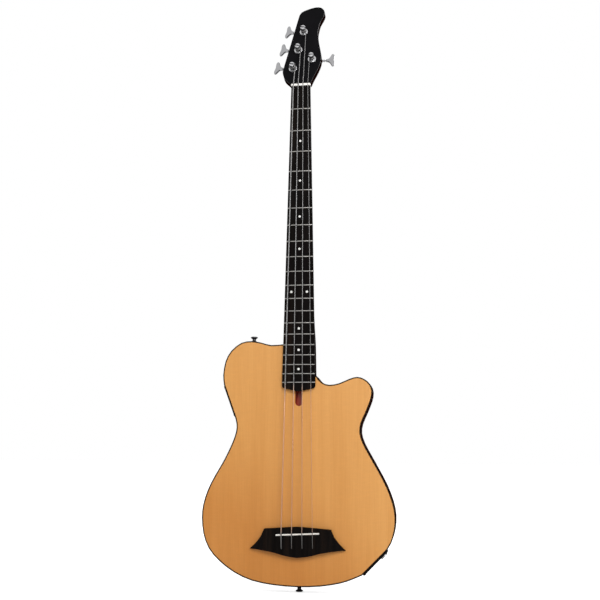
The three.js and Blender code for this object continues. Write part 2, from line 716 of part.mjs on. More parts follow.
// Saddle: its slot slants so that the bass string is a little longer
const saddleHalfLength = 39.8;
const saddleThickness = 3;
const saddleMiddleX = 0.8;
const saddleMiddleZ = -867;
const saddleSlant = THREE.MathUtils.degToRad(2.9);
const saddleSlotDepth = 7;
const pickupThickness = 1.4;
const bridgeFace = topFace - bridgeHeight;

const saddleGroup = new THREE.Group();
saddleGroup.position.set(saddleMiddleX, 0, saddleMiddleZ);
saddleGroup.rotation.y = -saddleSlant;
instrument.add(saddleGroup);
saddleGroup.updateMatrix();

function saddleZ(x) {
  return saddleMiddleZ + (x - saddleMiddleX) * Math.tan(saddleSlant);
}

function addSaddle() {
  const half = saddleThickness / 2;
  const slotBottom = bridgeFace + saddleSlotDepth;
  const saddleBottom = slotBottom - pickupThickness - 2 * gap;
  const top = -actionAtSaddle;
  const profile = [[-half, saddleBottom], [half, saddleBottom], [half, top + half], [half / 2, top + gap],
    [0, top], [-half / 2, top + gap], [-half, top + half]].map(([z, y]) => new THREE.Vector2(z, y));
  place(saddleGroup, 'saddle', bar(profile, -saddleHalfLength, saddleHalfLength), bone);
  place(saddleGroup, 'saddle_pickup', block(-saddleHalfLength, saddleHalfLength,
    slotBottom - gap - pickupThickness, slotBottom - gap, -half, half), brass);
}
addSaddle();

// Strings: ball in the bridge's lower edge, up its tunnel, over saddle and nut, round the post
const ballRadius = 3;
const ballFromEdge = 4.5;
const tunnelMouthZ = -888.5;
const nutCrestZ = 1.2;
const postWrapGap = 0.5;
const stringSides = 6;
const stepsPerLoop = 16;

function stringAcross(index, spread) {
  return (index / (stringNames.length - 1) - 1 / 2) * spread;
}

function stringPoints(index) {
  const radius = stringRadii[index];
  const x = stringAcross(index, stringSpreadAtSaddle);
  const ball = new THREE.Vector3(x, topFace - ballRadius - 2 * gap, bridgeLow + ballFromEdge + ballRadius);
  const mouth = new THREE.Vector3(x, bridgeFace - radius, tunnelMouthZ);
  const crest = new THREE.Vector3(x, -actionAtSaddle - radius - gap, saddleZ(x));
  const nut = new THREE.Vector3(stringAcross(index, stringSpreadAtNut), -actionAtNut - radius, nutCrestZ);
  return { ball, mouth, crest, nut };
}

// The winding climbs the post from the string's lowest wrap; least gap between its own turns
let leastWindingGap = Infinity;

function windingPoints(index, nut) {
  const { post, wrapSide } = machines[index];
  const radius = stringRadii[index];
  const windRadius = postWaistRadius + gap + radius;
  const nutOnHead = nut.clone().applyMatrix4(headMatrix.clone().invert());
  const away = new THREE.Vector2(nutOnHead.x - post.x, nutOnHead.z - post.y);
  const startAngle = away.angle() + wrapSide * Math.acos(windRadius / away.length());
  const lowest = collarHeight + gap + radius;
  const climb = 2 * radius + postWrapGap;
  const steps = windingLoops[index] * stepsPerLoop;
  const points = Array.from({ length: steps + 1 }, (_, k) => {
    const wound = k / stepsPerLoop;
    const angle = startAngle + wrapSide * wound * turn;
    return new THREE.Vector3(post.x + windRadius * Math.cos(angle), -lowest - climb * wound,
      post.y + windRadius * Math.sin(angle));
  });
  for (let k = 0; k + stepsPerLoop / 2 < points.length; k += 1) {
    for (let other = k + stepsPerLoop / 2; other < points.length; other += 1) {
      leastWindingGap = Math.min(leastWindingGap, points[k].distanceTo(points[other]) - 2 * radius);
    }
  }
  return points.map((point) => point.applyMatrix4(headMatrix));
}

function stringSolid(index) {
  const radius = stringRadii[index];
  const { ball, mouth, crest, nut } = stringPoints(index);
  const winding = windingPoints(index, nut);
  const run = tube([ball, mouth, crest, nut, ...winding], radius, stringSides);
  const ballSolid = pin(ball.x, ball.z, ballRadius, ball.y - ballRadius / 2, ball.y + ballRadius / 2, 16);
  return run.add(ballSolid);
}
stringNames.forEach((name, index) => {
  place(instrument, `string_${name}`, stringSolid(index), stringSteel);
});
console.log(`least gap between turns of a winding: ${leastWindingGap.toFixed(2)} mm`);

function stringTunnels() {
  return stringNames.flatMap((_, index) => {
    const { ball, mouth } = stringPoints(index);
    const along = mouth.clone().sub(ball).normalize();
    const beyond = mouth.clone().addScaledVector(along, overrun);
    const tunnel = rod(ball, beyond, stringRadii[index] + gap, 10);
    const lower = ball.z - ballFromEdge - 2 * ballRadius;
    const pocket = block(ball.x - ballRadius - gap, ball.x + ballRadius + gap,
      ball.y - ballRadius / 2 - gap, ball.y + ballRadius / 2 + gap, lower, ball.z + ballRadius + gap);
    return [tunnel, pocket];
  });
}

function bridgeSolid() {
  const shape = new THREE.Shape(bridgeOutline());
  const geometry = new THREE.ExtrudeGeometry(shape, { depth: bridgeHeight, bevelThickness: bridgeEdge,
    bevelSize: bridgeEdge, bevelOffset: -bridgeEdge, bevelSegments: 2 });
  geometry.rotateX(Math.PI / 2);
  geometry.translate(0, bridgeFace + bridgeEdge + bridgeHeight, 0);
  const low = bridgeLow - overrun;
  const high = bridgeLow + bridgeReach + overrun;
  const below = block(-bridgeHalfWidth - overrun, bridgeHalfWidth + overrun, topFace, topFace + bridgeHeight,
    low, high);
  const wingFace = topFace - bridgeWingHeight;
  const wings = [-1, 1].map((side) => wingCut(side, wingFace, low, high));
  const slot = inGroup(saddleGroup, block(-saddleHalfLength - gap, saddleHalfLength + gap,
    bridgeFace - overrun, bridgeFace + saddleSlotDepth, -saddleThickness / 2 - seam * 2,
    saddleThickness / 2 + seam * 2));
  return cutAll(solid(geometry), [below, ...wings, slot, ...stringTunnels()]);
}

// The wedge that is planed off one wing, from the high middle down to the tip
function wingCut(side, wingFace, low, high) {
  const front = bridgeFace - overrun;
  const ring = (z) => [[bridgeFlatHalf, bridgeFace], [bridgeHalfWidth + overrun, wingFace],
    [bridgeHalfWidth + overrun, front], [bridgeFlatHalf, front]]
    .map(([x, y]) => new THREE.Vector3(side * x, y, z));
  return solid(loft([ring(low), ring(high)]));
}
place(instrument, 'bridge', bridgeSolid(), ebony);

// Nut: bone bar across the neck, with a slot for each string
function nutSolid() {
  const half = boardHalfWidth(0);
  const crest = -actionAtNut - stringRadii.at(-1);
  const low = seam;
  const high = nutLength - seam;
  const profile = [[low, boardThickness - seam], [high, boardThickness - seam], [high, crest + 3 * gap],
    [high - 2 * gap, crest], [low + gap, crest - gap], [low, crest]].map(([z, y]) => new THREE.Vector2(z, y));
  const slots = stringNames.flatMap((_, index) => {
    const { crest: saddleCrest, nut } = stringPoints(index);
    const [post] = windingPoints(index, nut);
    const radius = stringRadii[index] + gap;
    const reach = 2 * nutLength;
    return [saddleCrest, post].map((far) => {
      const direction = far.clone().sub(nut).normalize();
      const end = nut.clone().addScaledVector(direction, reach);
      const start = nut.clone().addScaledVector(direction, -radius);
      return rod(start, end, radius, 6);
    });
  });
  return cutAll(bar(profile, -half, half), slots);
}
place(instrument, 'nut', nutSolid(), bone);

// Soundboard and binding
const soundboardOutline = inset(bodyOutline, bindingWidth + seam);
const accessSlot = plate(slotOutline(slotWidth), topFace - overrun, topFace + slotDepth);
const soundboard = cutAll(plate(soundboardOutline, topFace, coreFace - seam), [neckPocket, accessSlot]);
place(instrument, 'soundboard', soundboard, spruce);

const bindingRing = plate(bodyOutline, topFace, topFace + bindingDepth)
  .subtract(plate(inset(bodyOutline, bindingWidth), topFace - overrun, topFace + bindingDepth + overrun));
place(instrument, 'binding', bindingRing.subtract(neckPocket), blackBinding);

// Control panel in the upper bass side: a fascia with the preamplifier housing behind it
const fasciaThickness = 2.3;
const fasciaFront = 15;
const fasciaBack = 50;
const fasciaCorner = 3;
const housingInset = 3;
const housingDepth = 32;
const knobRadius = 7.4;
const knobHeight = 4.6;
const knobStemRadius = 2.6;
const knobStemLength = 5;
const knobSpacing = 26;
const knobNotch = 1.4;
const knobRidges = 16;
const ridgeShare = 0.94;
const fasciaMiddle = (fasciaFront + fasciaBack) / 2;
const knobFloor = gap + fasciaThickness - knobHeight;

// A flat plate on a side of the body: a (z, y) outline between two distances from the flat
function sidePlate(length, front, back, from, to, corner) {
  const outline = roundedRectangle(-length / 2, length / 2, front, back, corner);
  return bar(outline, from, to);
}

function preampSolid() {
  const length = panelFlat.length;
  const fascia = sidePlate(length, fasciaFront, fasciaBack, gap, gap + fasciaThickness, fasciaCorner);
  const housing = sidePlate(length - 2 * housingInset, fasciaFront + housingInset, fasciaBack - housingInset,
    -housingDepth, gap + fasciaThickness / 2, fasciaCorner);
  const wells = [-1, 1].flatMap((side) => {
    const at = (x) => new THREE.Vector3(x, fasciaMiddle, (side * knobSpacing) / 2);
    return [rod(at(knobFloor - gap), at(fasciaThickness + overrun), knobRadius + 2 * gap, 24),
      rod(at(knobFloor - knobStemLength - 2 * gap), at(knobFloor), knobStemRadius + gap)];
  });
  return cutAll(fascia.add(housing), wells);
}

// Knob, flush with the fascia: a ridged disc on its stem, with a notch that shows its setting
function knobSolid(z) {
  const ridge = Array.from({ length: 2 * knobRidges }, (_, k) => {
    const radius = k % 2 ? knobRadius : knobRadius * ridgeShare;
    const angle = (k / (2 * knobRidges)) * turn;
    return new THREE.Vector2(z + radius * Math.cos(angle), fasciaMiddle + radius * Math.sin(angle));
  });
  const disc = bar(ridge, knobFloor, knobFloor + knobHeight);
  const stem = rod(new THREE.Vector3(knobFloor - knobStemLength, fasciaMiddle, z),
    new THREE.Vector3(knobFloor + gap, fasciaMiddle, z), knobStemRadius);
  const notch = block(knobFloor + knobHeight / 2, knobFloor + knobHeight + overrun,
    fasciaMiddle - knobRadius - overrun, fasciaMiddle - knobRadius / 3, z - knobNotch / 2, z + knobNotch / 2);
  return disc.add(stem).subtract(notch);
}
place(panelGroup, 'preamp', preampSolid(), blackPlastic);
place(panelGroup, 'volume_knob', knobSolid(-knobSpacing / 2), blackPlastic);
place(panelGroup, 'tone_knob', knobSolid(knobSpacing / 2), blackPlastic);

// Output plate on the lower treble side: jack socket, and a battery case with its drawer
const outputThickness = 3;
const outputFront = 16;
const outputBack = 48;
const outputCorner = 3;
const outputMiddle = (outputFront + outputBack) / 2;
const caseLength = 31;
const caseWidth = 24;
const caseDepth = 54;
const caseWall = 1.5;
const caseMiddle = -10;
const jackMiddle = 19;
const jackBoreRadius = 3.2;
const jackBarrelRadius = 4.8;
const jackBarrelLength = 27;
const jackNutRadius = 7;
const jackNutThickness = 2.4;
const drawerLip = 2;
const drawerGrip = 1.4;

function caseBox(grow, from, to) {
  return block(from, to, outputMiddle - caseWidth / 2 - grow, outputMiddle + caseWidth / 2 + grow,
    caseMiddle - caseLength / 2 - grow, caseMiddle + caseLength / 2 + grow);
}

function outputPlateSolid() {
  const base = sidePlate(outputFlat.length, outputFront, outputBack, gap, gap + outputThickness, outputCorner);
  const shell = caseBox(gap + caseWall, -caseDepth - gap - caseWall, gap + outputThickness / 2);
  const hollow = caseBox(gap, -caseDepth - gap, outputThickness + overrun);
  const jackHole = rod(new THREE.Vector3(-overrun, outputMiddle, jackMiddle),
    new THREE.Vector3(outputThickness + overrun, outputMiddle, jackMiddle), jackBarrelRadius + gap, 24);
  return cutAll(base.add(shell), [hollow, jackHole]);
}

// Drawer: a front flush with the plate, finger recess, and the tray with the battery in it
function batteryDrawerSolid() {
  const front = caseBox(0, 0, gap + outputThickness);
  const tray = caseBox(-gap, -caseDepth + gap, gap);
  const recess = block(gap + outputThickness - drawerGrip, outputThickness + overrun,
    outputMiddle - caseWidth / 2 + 2 * drawerLip, outputMiddle + caseWidth / 2 - 2 * drawerLip,
    caseMiddle - caseLength / 2 + drawerLip, caseMiddle - caseLength / 2 + 3 * drawerLip);
  return front.add(tray).subtract(recess);
}

function jackSocketGeometry() {
  const face = gap + outputThickness;
  const rim = face + gap + jackNutThickness;
  const profile = [[0, -jackBarrelLength], [jackBarrelRadius, -jackBarrelLength],
    [jackBarrelRadius, face + gap], [jackNutRadius, face + gap], [jackNutRadius, rim - gap],
    [jackNutRadius - gap, rim], [jackBoreRadius, rim], [jackBoreRadius, -jackBarrelLength + outputThickness],
    [0, -jackBarrelLength + outputThickness]];
  const points = profile.map(([radius, height]) => new THREE.Vector2(radius, height));
  const geometry = new THREE.LatheGeometry(points, 12).rotateZ(-Math.PI / 2);
  return facingOut(geometry.translate(0, outputMiddle, jackMiddle));
}
place(outputGroup, 'output_plate', outputPlateSolid(), blackPlastic);
place(outputGroup, 'battery_drawer', batteryDrawerSolid(), blackPlastic);
place(outputGroup, 'jack_socket', jackSocketGeometry(), chrome);

// Strap buttons, each with its screw into the wood
const buttonHeight = 11.5;
const buttonBaseRadius = 6;
const buttonWaistRadius = 3.6;
const buttonHeadRadius = 7;
const buttonFaceRadius = 5;
const buttonRadiiShares = [[buttonBaseRadius, 0.12], [buttonWaistRadius, 0.35], [buttonWaistRadius, 0.6],
  [buttonHeadRadius, 0.8], [buttonHeadRadius, 0.92], [buttonFaceRadius, 1], [0, 1]];
const strapScrewRadius = 2.2;
const strapScrewLength = 20;
const strapShoulderX = -92;
const strapDepth = topFace + bodyDepth / 2;

function strapButton(name, x, z, pointsUp) {
  const profile = [[0, -strapScrewLength], [strapScrewRadius, -strapScrewLength], [strapScrewRadius, gap],
    [buttonBaseRadius, gap], ...buttonRadiiShares.map(([radius, share]) => [radius, share * buttonHeight])];
  const points = profile.map(([radius, height]) => new THREE.Vector2(radius, height));
  const geometry = new THREE.LatheGeometry(points, 12).rotateX(pointsUp ? Math.PI / 2 : -Math.PI / 2);
  place(instrument, name, facingOut(geometry.translate(x, strapDepth, z)), darkSteel);
}
strapButton('strap_button_tail', 0, bodyBottom, false);
strapButton('strap_button_shoulder', strapShoulderX, shoulderZ, true);

// Body: one block with a rounded back edge, two chambers beside a centre block, and its pockets
const rimWidth = 13;
const centreBlockHalf = 52;
const chamberTop = -688;
const chamberFloor = 8;

function bodyBlank() {
  const shape = new THREE.Shape(bodyOutline);
  const rebateFloor = topFace + bindingDepth + seam;
  const straight = backFace - backEdgeRadius - rebateFloor;
  const geometry = new THREE.ExtrudeGeometry(shape, { depth: straight + backEdgeRadius,
    bevelThickness: backEdgeRadius, bevelSize: backEdgeRadius, bevelOffset: -backEdgeRadius,
    bevelSegments: 2 });
  geometry.rotateX(Math.PI / 2);
  geometry.translate(0, backFace - backEdgeRadius, 0);
  const far = bodyLength + bodyHalfWidth;
  const front = block(-far, far, -far, rebateFloor, bodyBottom - far, overrun);
  return solid(geometry).subtract(front).add(plate(soundboardOutline, coreFace, rebateFloor + seam));
}

function chambers() {
  const hollow = plate(inset(bodyOutline, rimWidth).filter(({ y }) => y < chamberTop), coreFace - overrun,
    backFace - chamberFloor);
  const centre = block(-centreBlockHalf, centreBlockHalf, coreFace - 2 * overrun, backFace, bodyBottom,
    chamberTop + overrun);
  return hollow.subtract(centre);
}

function screwHole(x, bottom, top) {
  return rod(new THREE.Vector3(x, strapDepth, bottom), new THREE.Vector3(x, strapDepth, top),
    strapScrewRadius + gap);
}

function bodySolid() {
  const preampPocket = inGroup(panelGroup, sidePlate(panelFlat.length - 2 * housingInset + 2 * gap,
    fasciaFront + housingInset - gap, fasciaBack - housingInset + gap, -housingDepth - gap, overrun,
    fasciaCorner));
  const casePocket = inGroup(outputGroup, caseBox(caseWall + 2 * gap, -caseDepth - caseWall - 2 * gap, overrun));
  const jackPocket = inGroup(outputGroup, rod(
    new THREE.Vector3(-jackBarrelLength - gap, outputMiddle, jackMiddle),
    new THREE.Vector3(overrun, outputMiddle, jackMiddle), jackBarrelRadius + gap, 24));
  return cutAll(bodyBlank(), [neckPocket, accessSlot, chambers(), preampPocket, casePocket, jackPocket,
    screwHole(0, bodyBottom - overrun, bodyBottom + strapScrewLength + gap),
    screwHole(strapShoulderX, shoulderZ - strapScrewLength - gap, shoulderZ + overrun)]);
}
place(instrument, 'body', bodySolid(), mahogany);

export default instrument;
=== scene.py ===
from math import acos, atan2, cos, hypot, pi, radians, sin, sqrt, tan

import bpy
from mathutils import Matrix, Vector


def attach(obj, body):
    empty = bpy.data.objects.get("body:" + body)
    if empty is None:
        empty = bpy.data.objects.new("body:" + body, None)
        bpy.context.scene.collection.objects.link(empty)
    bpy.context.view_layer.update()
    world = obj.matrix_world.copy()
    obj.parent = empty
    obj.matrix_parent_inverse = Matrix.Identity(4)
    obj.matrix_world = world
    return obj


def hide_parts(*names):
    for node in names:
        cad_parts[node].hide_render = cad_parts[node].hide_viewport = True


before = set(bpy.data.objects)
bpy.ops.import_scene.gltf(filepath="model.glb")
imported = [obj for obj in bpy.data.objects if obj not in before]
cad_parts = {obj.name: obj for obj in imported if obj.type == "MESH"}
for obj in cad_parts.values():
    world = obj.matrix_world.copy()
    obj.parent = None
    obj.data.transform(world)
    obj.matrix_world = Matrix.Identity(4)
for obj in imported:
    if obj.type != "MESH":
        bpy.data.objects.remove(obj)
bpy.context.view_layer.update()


# Body. Back and sides of dark stained mahogany, routed from one thick blank with two chambers,
# rounded over along the back edge and sprayed with clear gloss lacquer. The slot for the truss rod's
# key goes down into redder, thinly sealed wood, and its floor is rounded.

key_slot_half_width = 0.0078
key_slot_span = (-0.637, -0.589)
key_slot_floor = 0.0005
key_slot_rounding = ((0.0008, 0.0012), (0.0010, 0.0007), (0.0010, 0.0002))


def pick_only(piece):
    """Nothing but this piece stays selected and active."""
    bpy.ops.object.select_all(action="DESELECT")
    piece.hide_set(False)
    piece.select_set(True)
    bpy.context.view_layer.objects.active = piece


def apply_all_modifiers(piece):
    pick_only(piece)
    for modifier in list(piece.modifiers):
        bpy.ops.object.modifier_apply(modifier=modifier.name)


def edit_faces(piece, chosen):
    """Edit mode with only those faces selected that the rule chooses."""
    pick_only(piece)
    bpy.ops.object.mode_set(mode="EDIT")
    bpy.ops.mesh.select_mode(type="FACE")
    bpy.ops.mesh.select_all(action="DESELECT")
    bpy.ops.object.mode_set(mode="OBJECT")
    for face in piece.data.polygons:
        face.select = chosen(face)
    bpy.ops.object.mode_set(mode="EDIT")


def smooth_faces(piece, angle=60):
    """Curved faces shaded smooth, flat ones kept flat by weighing the normals."""
    pick_only(piece)
    bpy.ops.object.shade_smooth_by_angle(angle=radians(angle))
    weighing = piece.modifiers.new("weighing", "WEIGHTED_NORMAL")
    weighing.keep_sharp = True
    apply_all_modifiers(piece)


def paint(piece, material):
    piece.data.materials.clear()
    piece.data.materials.append(material)


def finished(node, material, body="root", easing=0.0, angle=60):
    """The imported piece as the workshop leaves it: welded, its corners eased, its curves smooth."""
    piece = bpy.data.objects.new("finished_" + node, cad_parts[node].data.copy())
    bpy.context.collection.objects.link(piece)
    pick_only(piece)
    bpy.ops.object.mode_set(mode="EDIT")
    bpy.ops.mesh.select_all(action="SELECT")
    bpy.ops.mesh.remove_doubles(threshold=0.000005)
    bpy.ops.mesh.dissolve_limited(angle_limit=radians(0.4))
    bpy.ops.object.mode_set(mode="OBJECT")
    if easing:
        rounding = piece.modifiers.new("rounding", "BEVEL")
        rounding.width = easing
        rounding.segments = 2
        rounding.limit_method = "ANGLE"
        rounding.angle_limit = radians(42)
        apply_all_modifiers(piece)
    smooth_faces(piece, angle)
    paint(piece, material)
    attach(piece, body)
    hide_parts(node)
    return piece


def new_finish(name, **constants):
    """A material with the values that are the same all over set on its shader."""
    material = bpy.data.materials.new(name)
    material.use_nodes = True
    shader = material.node_tree.nodes["Principled BSDF"]
    for socket, value in constants.items():
        shader.inputs[socket.replace("_", " ")].default_value = value
    return material


def add_node(material, kind, inputs=(), **settings):
    """A node with its settings, its inputs given as values or as other nodes' outputs."""
    made = material.node_tree.nodes.new(kind)
    for setting, value in settings.items():
        setattr(made, setting, value)
    for socket, value in dict(inputs).items():
        if isinstance(value, bpy.types.NodeSocket):
            material.node_tree.links.new(value, made.inputs[socket])
        else:
            made.inputs[socket].default_value = value
    return made


def join_shader(material, **outputs):
    shader = material.node_tree.nodes["Principled BSDF"]
    for socket, value in outputs.items():
        material.node_tree.links.new(value, shader.inputs[socket.replace("_", " ")])


def place_pattern(material, scale, mirrored=False):
    """Coordinates in the instrument's own metres, stretched by scale, and book-matched if mirrored."""
    coordinates = add_node(material, "ShaderNodeTexCoord").outputs["Object"]
    if mirrored:
        parts = add_node(material, "ShaderNodeSeparateXYZ", {"Vector": coordinates})
        across = add_node(material, "ShaderNodeMath", {0: parts.outputs["X"]}, operation="ABSOLUTE")
        coordinates = add_node(material, "ShaderNodeCombineXYZ", {
            "X": across.outputs[0], "Y": parts.outputs["Y"], "Z": parts.outputs["Z"]}).outputs[0]
    return add_node(material, "ShaderNodeMapping", {"Vector": coordinates, "Scale": scale}).outputs[0]


def noise(material, vector, detail=3.0, roughness=0.5):
    return add_node(material, "ShaderNodeTexNoise", {
        "Vector": vector, "Scale": 1.0, "Detail": detail, "Roughness": roughness}).outputs["Fac"]


def ramp(material, factor, stops):
    """Colours or greys along a factor: stops are (position, colour)."""
    made = add_node(material, "ShaderNodeValToRGB", {"Fac": factor})
    elements = made.color_ramp.elements
    while len(elements) < len(stops):
        elements.new(0.5)
    for element, (position, colour) in zip(elements, stops):
        element.position = position
        grey = (colour, colour, colour) if isinstance(colour, float) else colour
        element.color = (*grey, 1.0)
    return made.outputs["Color"]


def mix_colours(material, first, second, factor=1.0, blend="MULTIPLY"):
    made = add_node(material, "ShaderNodeMix", data_type="RGBA", blend_type=blend)
    sockets = (made.inputs["Factor"], made.inputs[6], made.inputs[7])
    for socket, value in zip(sockets, (factor, first, second)):
        if isinstance(value, bpy.types.NodeSocket):
            material.node_tree.links.new(value, socket)
        else:
            socket.default_value = value
    return made.outputs[2]


def spread(material, factor, low, high):
    """A factor stretched over a range, for roughness."""
    return add_node(material, "ShaderNodeMapRange", {
        "Value": factor, "From Min": 0.3, "From Max": 0.7, "To Min": low, "To Max": high}).outputs["Result"]


def bump(material, height, depth, strength=1.0):
    """A bump of the given depth in metres."""
    return add_node(material, "ShaderNodeBump", {
        "Height": height, "Distance": depth, "Strength": strength}).outputs["Normal"]


def wood_finish(name, dark, light, pores, gloss, grain=(160, 160, 5), mirrored=False, **constants):
    """Wood grown along the instrument: streaked colour, short open pores and a lacquer of its own gloss."""
    material = new_finish(name, **constants)
    streaks = noise(material, place_pattern(material, grain, mirrored), 6, 0.62)
    broad = noise(material, place_pattern(material, (18, 18, 1.4), mirrored), 2)
    pore = noise(material, place_pattern(material, (1500, 1500, 45), mirrored), 2, 0.7)
    colour = ramp(material, streaks, [(0.3, dark), (0.7, light)])
    colour = mix_colours(material, colour, ramp(material, broad, [(0.3, 0.72), (0.7, 1.0)]))
    colour = mix_colours(material, colour, ramp(material, pore, [(0.3, pores), (0.42, 1.0)]))
    join_shader(material, Base_Color=colour, Roughness=spread(material, broad, *gloss),
                Normal=bump(material, pore, 0.00004, 0.25))
    return material


def paint_shade_on_sides(piece, material, darkness):
    """Painted shade: a piece's sides get a darker colour and less shine, and the lacquer is glossy only
    where the piece is turned to the back.
    """
    behind = piece.data.attributes.new("behind", "FLOAT", "POINT")
    for vertex, amount in zip(piece.data.vertices, behind.data):
        amount.value = min(1.0, max(0.0, (vertex.normal.y - 0.15) / 0.5))
    turned = add_node(material, "ShaderNodeAttribute", attribute_name="behind").outputs["Fac"]
    colour = material.node_tree.nodes["Principled BSDF"].inputs["Base Color"].links[0].from_socket
    shine = add_node(material, "ShaderNodeMapRange", {"Value": turned, "To Max": 0.28})
    join_shader(material, Specular_IOR_Level=shine.outputs["Result"], Base_Color=mix_colours(
        material, colour, ramp(material, turned, [(0.0, darkness), (1.0, 1.0)])))


red_mahogany = wood_finish(
    "red_mahogany", dark=(0.030, 0.0066, 0.0048), light=(0.090, 0.0170, 0.0115), pores=0.45,
    gloss=(0.26, 0.38), mirrored=True)
bare_mahogany = wood_finish(
    "bare_mahogany", dark=(0.22, 0.020, 0.008), light=(0.38, 0.042, 0.018), pores=0.7,
    gloss=(0.20, 0.28), Specular_IOR_Level=0.3, Coat_Weight=0.15, Coat_Roughness=0.12)
body = finished("body", red_mahogany, easing=0.0004)
# Painted shade on the body's sides: the colour there is darker and the shine less.
paint_shade_on_sides(body, red_mahogany, darkness=0.42)
body.data.materials.append(bare_mahogany)
for face in body.data.polygons:
    across, depth, up = face.center
    in_slot = (abs(across) < key_slot_half_width and depth < key_slot_floor
               and key_slot_span[0] < up < key_slot_span[1])
    face.material_index = 1 if in_slot else 0
edit_faces(body, lambda face: face.material_index == 1 and face.normal.y < -0.9)
for inset, rise in key_slot_rounding:
    bpy.ops.mesh.inset(thickness=inset, depth=rise)
bpy.ops.object.mode_set(mode="OBJECT")
smooth_faces(body)


# Soundboard. Two book-matched halves of straight-grained spruce, 3.5 mm thick, glued down with no
# sound hole, under a clear satin lacquer that has warmed to orange.

# Painted light and shade across the top: paler towards the upper treble side, darker towards the tail's
# bass side.
painted_light_towards = (1.93, 0, 2.54)
painted_light_span = (-2.378, -1.378)


def spruce_finish():
    """Rings, fibres and broad bands along the grain, silk across it, and painted light: paler towards one
    corner, darker and deeper orange towards the other.
    """
    material = new_finish("orange_spruce", Specular_IOR_Level=0.2, Coat_Weight=0.15, Coat_Roughness=0.3)
    wander = noise(material, place_pattern(material, (4, 4, 1.2), True), 2)
    rings = add_node(material, "ShaderNodeTexWave", {
        "Vector": place_pattern(material, (1, 0, 0.006), True), "Scale": 150.0, "Distortion": 3.5,
        "Detail": 3.0, "Detail Scale": 0.35, "Detail Roughness": 0.6}, bands_direction="X").outputs["Fac"]
    fibres = noise(material, place_pattern(material, (1100, 300, 12), True), 4, 0.65)
    bands = noise(material, place_pattern(material, (42, 42, 0.9), True), 3, 0.55)
    silk = noise(material, place_pattern(material, (60, 60, 260), True), 3, 0.6)
    along = add_node(material, "ShaderNodeVectorMath", {0: place_pattern(material, (1, 1, 1)),
                                                        1: painted_light_towards}, operation="DOT_PRODUCT")
    painted_light_amount = add_node(material, "ShaderNodeMapRange", {
        "Value": along.outputs["Value"], "From Min": painted_light_span[0],
        "From Max": painted_light_span[1]}).outputs["Result"]
    colour = ramp(material, bands, [(0.25, (0.670, 0.330, 0.098)), (0.5, (0.705, 0.357, 0.111)),
                                    (0.75, (0.740, 0.384, 0.125))])
    # Painted light: the colour pales along that direction and darkens against it.
    colour = mix_colours(material, colour, ramp(material, painted_light_amount, [
        (0.0, (0.85, 0.71, 0.52)), (0.45, (0.98, 0.95, 0.88)), (1.0, 1.0)]))
    colour = mix_colours(material, colour, ramp(material, rings, [(0.35, 1.0), (0.95, (0.86, 0.79, 0.70))]))
    colour = mix_colours(material, colour, ramp(material, fibres, [(0.3, (0.93, 0.90, 0.86)), (0.6, 1.0)]))
    colour = mix_colours(material, colour, ramp(material, silk, [(0.45, 1.0), (0.75, (1.04, 1.035, 1.02))]))
    colour = mix_colours(material, colour, ramp(material, wander, [(0.3, (0.96, 0.94, 0.91)), (0.7, 1.0)]))
    join_shader(material, Base_Color=colour, Roughness=spread(material, fibres, 0.30, 0.42),
                Normal=bump(material, fibres, 0.00003, 0.2))
    return material


orange_spruce = spruce_finish()
soundboard = finished("soundboard", orange_spruce, easing=0.0001)


# Binding. A black plastic strip, 1.6 mm thick, bent round the edge of the top, glued into its
# rebate and scraped level under the lacquer, with a thin black line let into the top beside it.

def plastic_finish(name, colour, gloss, grain, relief, **constants):
    """Moulded plastic: an even colour with a faint cloudiness and a fine surface grain."""
    material = new_finish(name, **constants)
    cloud = noise(material, place_pattern(material, (35, 35, 35)), 3)
    skin = noise(material, place_pattern(material, (grain, grain, grain)), 2)
    lighter = tuple(1.35 * part for part in colour)
    join_shader(material, Base_Color=ramp(material, cloud, [(0.3, colour), (0.7, lighter)]),
                Roughness=spread(material, cloud, *gloss), Normal=bump(material, skin, relief, 0.35))
    return material


purfling_width = 0.0006
waist_drawn_in = 0.0022
waist_span = (-0.850, -0.780, -0.640, -0.592)
waist_from, waist_whole = 0.070, 0.108
neck_joint_half_width = 0.034
neck_joint_end = -0.64


def eased(value, start, end):
    """From 0 at the start to 1 at the end, with a gentle beginning and end."""
    share = min(1.0, max(0.0, (value - start) / (end - start)))
    return share * share * (3 - 2 * share)


black_binding = plastic_finish("black_binding", (0.006, 0.005, 0.005), (0.38, 0.48), 900, 0.00002,
                               Specular_IOR_Level=0.0)
binding = finished("binding", black_binding, easing=0.0003)

# The waist on the treble side, drawn in a little to the line that the real one has.
low, lower, upper, high = waist_span
for piece in (body, soundboard, binding):
    for vertex in piece.data.vertices:
        along = eased(vertex.co.z, low, lower) * (1 - eased(vertex.co.z, upper, high))
        vertex.co.x -= waist_drawn_in * along * eased(vertex.co.x, waist_from, waist_whole)

soundboard.data.materials.append(black_binding)
faces_before = len(soundboard.data.polygons)
edit_faces(soundboard, lambda face: face.normal.y < -0.99 and face.area > 0.01)
bpy.ops.mesh.inset(thickness=purfling_width)
bpy.ops.object.mode_set(mode="OBJECT")
for face in soundboard.data.polygons:
    beside_neck = abs(face.center.x) < neck_joint_half_width and face.center.z > neck_joint_end
    if face.index >= faces_before and not face.select and not beside_neck:
        face.material_index = 1
smooth_faces(soundboard)


# Neck. Shaft, heel and headstock of the same mahogany, carved to a rounded D and glued into the
# body. A black lacquered veneer covers the front of the headstock.

neck_mahogany = wood_finish(
    "neck_mahogany", dark=(0.030, 0.0072, 0.0054), light=(0.085, 0.0180, 0.0122), pores=0.5,
    gloss=(0.32, 0.44), grain=(210, 210, 4))
neck = finished("neck", neck_mahogany, easing=0.0005)
# Painted shade on the neck's sides: the colour there is darker and the shine less.
paint_shade_on_sides(neck, neck_mahogany, darkness=0.2)


